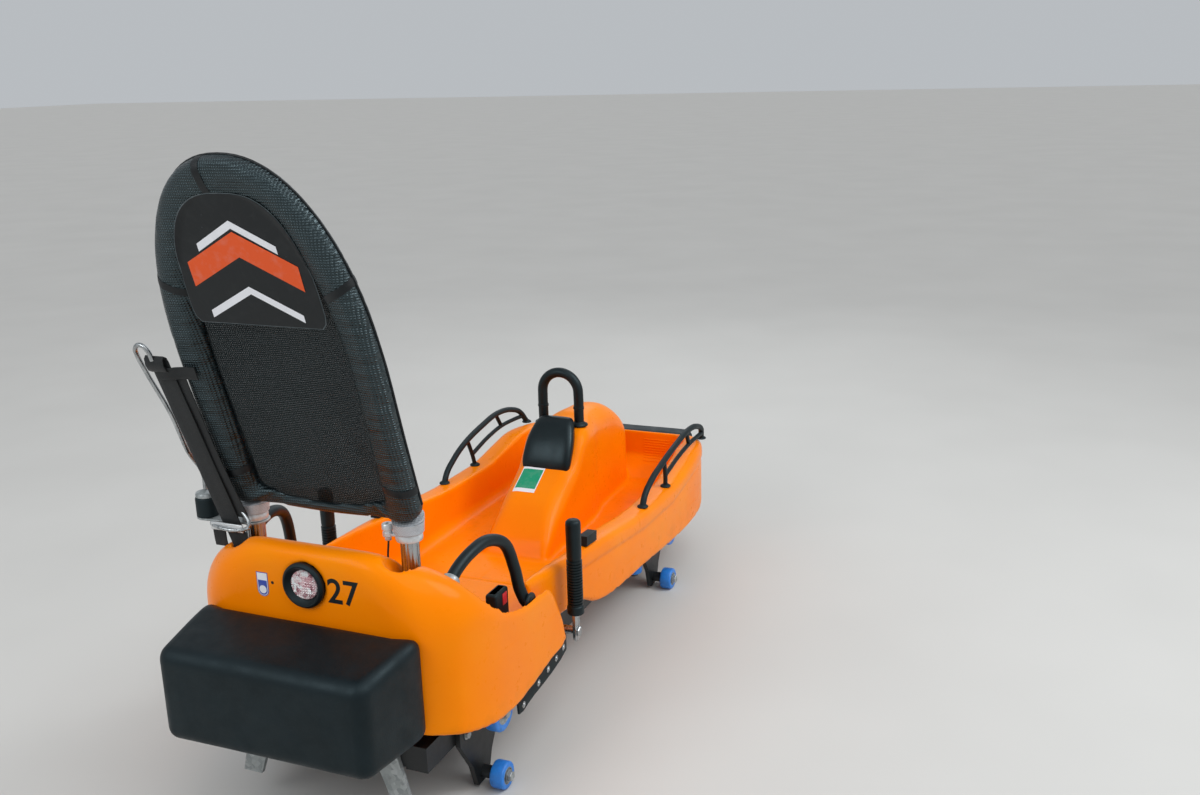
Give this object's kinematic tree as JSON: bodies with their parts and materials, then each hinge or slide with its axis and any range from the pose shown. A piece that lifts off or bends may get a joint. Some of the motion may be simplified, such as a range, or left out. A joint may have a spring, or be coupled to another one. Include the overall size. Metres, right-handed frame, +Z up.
{
  "type": "mountain coaster car",
  "caption": "Open rail coaster car with an orange moulded shell, a padded mesh backrest, side brake levers, a hoop handle, foam bumpers and rollers that grip a tube track.",
  "frame": {"origin": "centre of the overall box, on the floor under the lower rollers", "axes": "+Z up, -Y the way the car travels forward, +X the car's left"},
  "size_m": [0.702, 1.96, 1.3567],
  "materials": {
    "orange_shell": "glossy moulded shell",
    "black_steel": "satin black",
    "galvanised": "dull galvanised",
    "bright_steel": "polished rod",
    "bumper_foam": "skinned foam",
    "seat_vinyl": "smooth vinyl",
    "back_vinyl": "coarse woven vinyl",
    "back_mesh": "open mesh",
    "webbing": "flat webbing",
    "black_plastic": "matte",
    "handle_grip": "soft coated",
    "lamp_glass": "clear lens",
    "blue_tyre": "cast tyre"
  },
  "bodies": {
    "car": {"chassis_frame": "black_steel", "rear_end_plate": "galvanised", "carrier_fl": "black_steel", "carrier_fr": "black_steel", "carrier_rl": "black_steel", "carrier_rr": "black_steel", "rear_shell": "orange_shell", "front_tub": "orange_shell", "seat_pad": "seat_vinyl", "sill_guards": "black_plastic", "rear_bumper": "bumper_foam", "front_bumper": "bumper_foam", "lamp_bezel": "black_plastic", "lamp_lens": "lamp_glass", "seat_posts": "galvanised", "post_collars": "galvanised", "back_roll": "back_vinyl", "back_mesh": "back_mesh", "belt_bracket": "galvanised", "belt_reel": "black_plastic", "belt_crook": "bright_steel", "belt_webbing": "webbing", "belt_buckle": "black_plastic", "hip_tubes": "handle_grip", "hoop_handle": "handle_grip", "handle_boot": "black_plastic", "side_guard_l": "black_steel", "side_guard_r": "black_steel", "lever_stops": "black_plastic", "brake_unit": "galvanised"},
    "wheel_fl": {"wheel_fl": "blue_tyre"},
    "under_roller_fl": {"under_roller_fl": "blue_tyre"},
    "side_roller_fl": {"side_roller_fl": "blue_tyre"},
    "wheel_fr": {"wheel_fr": "blue_tyre"},
    "under_roller_fr": {"under_roller_fr": "blue_tyre"},
    "side_roller_fr": {"side_roller_fr": "blue_tyre"},
    "wheel_rl": {"wheel_rl": "blue_tyre"},
    "under_roller_rl": {"under_roller_rl": "blue_tyre"},
    "side_roller_rl": {"side_roller_rl": "blue_tyre"},
    "wheel_rr": {"wheel_rr": "blue_tyre"},
    "under_roller_rr": {"under_roller_rr": "blue_tyre"},
    "side_roller_rr": {"side_roller_rr": "blue_tyre"},
    "brake": {"brake_shaft": "bright_steel", "brake_lever_l": "handle_grip", "brake_lever_r": "handle_grip"}
  },
  "joints": [
    {"name": "wheel_spin_fl", "type": "hinge", "parent": "car", "child": "wheel_fl", "pos_m": [0.295, -0.48, 0.18], "axis": [1, 0, 0], "continuous": true},
    {"name": "under_spin_fl", "type": "hinge", "parent": "car", "child": "under_roller_fl", "pos_m": [0.295, -0.48, 0.03], "axis": [1, 0, 0], "continuous": true},
    {"name": "side_spin_fl", "type": "hinge", "parent": "car", "child": "side_roller_fl", "pos_m": [0.231, -0.37, 0.1], "axis": [0, 0, 1], "continuous": true},
    {"name": "wheel_spin_fr", "type": "hinge", "parent": "car", "child": "wheel_fr", "pos_m": [-0.295, -0.48, 0.18], "axis": [1, 0, 0], "continuous": true},
    {"name": "under_spin_fr", "type": "hinge", "parent": "car", "child": "under_roller_fr", "pos_m": [-0.295, -0.48, 0.03], "axis": [1, 0, 0], "continuous": true},
    {"name": "side_spin_fr", "type": "hinge", "parent": "car", "child": "side_roller_fr", "pos_m": [-0.231, -0.37, 0.1], "axis": [0, 0, 1], "continuous": true},
    {"name": "wheel_spin_rl", "type": "hinge", "parent": "car", "child": "wheel_rl", "pos_m": [0.295, 0.59, 0.18], "axis": [1, 0, 0], "continuous": true},
    {"name": "under_spin_rl", "type": "hinge", "parent": "car", "child": "under_roller_rl", "pos_m": [0.295, 0.59, 0.03], "axis": [1, 0, 0], "continuous": true},
    {"name": "side_spin_rl", "type": "hinge", "parent": "car", "child": "side_roller_rl", "pos_m": [0.231, 0.48, 0.1], "axis": [0, 0, 1], "continuous": true},
    {"name": "wheel_spin_rr", "type": "hinge", "parent": "car", "child": "wheel_rr", "pos_m": [-0.295, 0.59, 0.18], "axis": [1, 0, 0], "continuous": true},
    {"name": "under_spin_rr", "type": "hinge", "parent": "car", "child": "under_roller_rr", "pos_m": [-0.295, 0.59, 0.03], "axis": [1, 0, 0], "continuous": true},
    {"name": "side_spin_rr", "type": "hinge", "parent": "car", "child": "side_roller_rr", "pos_m": [-0.231, 0.48, 0.1], "axis": [0, 0, 1], "continuous": true},
    {"name": "brake_lever", "type": "hinge", "parent": "car", "child": "brake", "pos_m": [0, 0.262, 0.216], "axis": [1, 0, 0], "range_deg": [0, 30], "stiffness_Nm_per_rad": 12, "springref_deg": -11.46}
  ]
}
